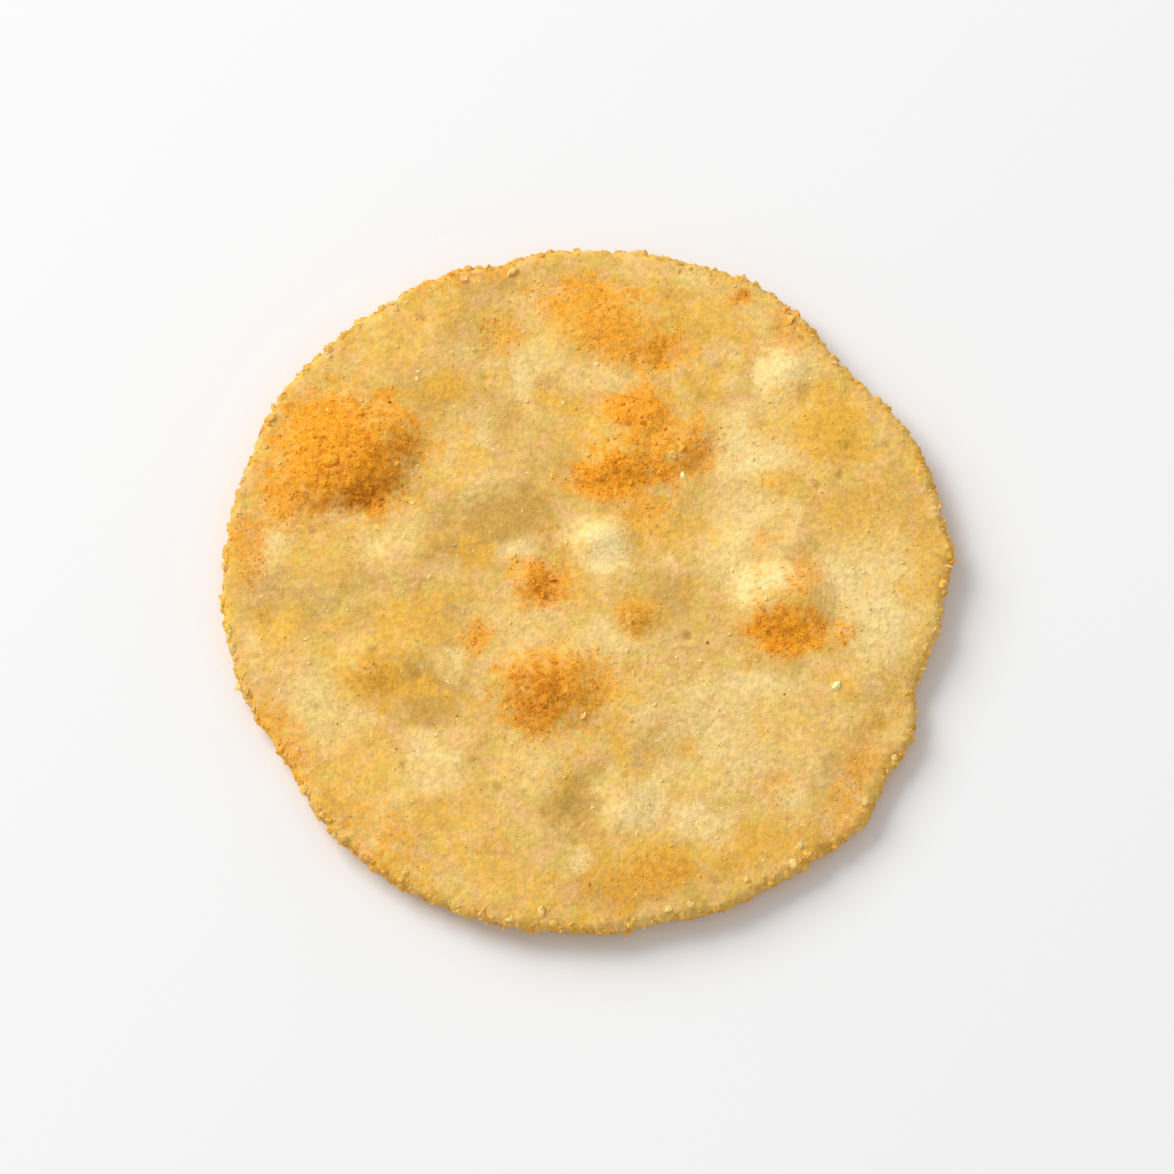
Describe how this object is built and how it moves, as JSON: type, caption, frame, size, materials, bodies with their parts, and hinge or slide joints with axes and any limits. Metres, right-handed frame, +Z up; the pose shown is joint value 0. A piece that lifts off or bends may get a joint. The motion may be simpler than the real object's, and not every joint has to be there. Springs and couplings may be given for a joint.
{
  "type": "rice cracker",
  "caption": "Thin round baked rice cracker with blisters, a ragged rim and baked-on seasoning, one piece of snack food.",
  "frame": {"origin": "middle of the cracker's box, on the surface that it lies on", "axes": "+Z up through the thickness, blistered face up; +X to the right and -Y towards the viewer of the picture"},
  "size_m": [0.0481, 0.0478, 0.004],
  "materials": {
    "crust": "dry baked crust, tan with pale blisters and powdery orange and yellow seasoning",
    "seasoning": "dry granular seasoning, orange to pale yellow"
  },
  "bodies": {
    "root": {"cracker": "crust"}
  },
  "joints": []
}
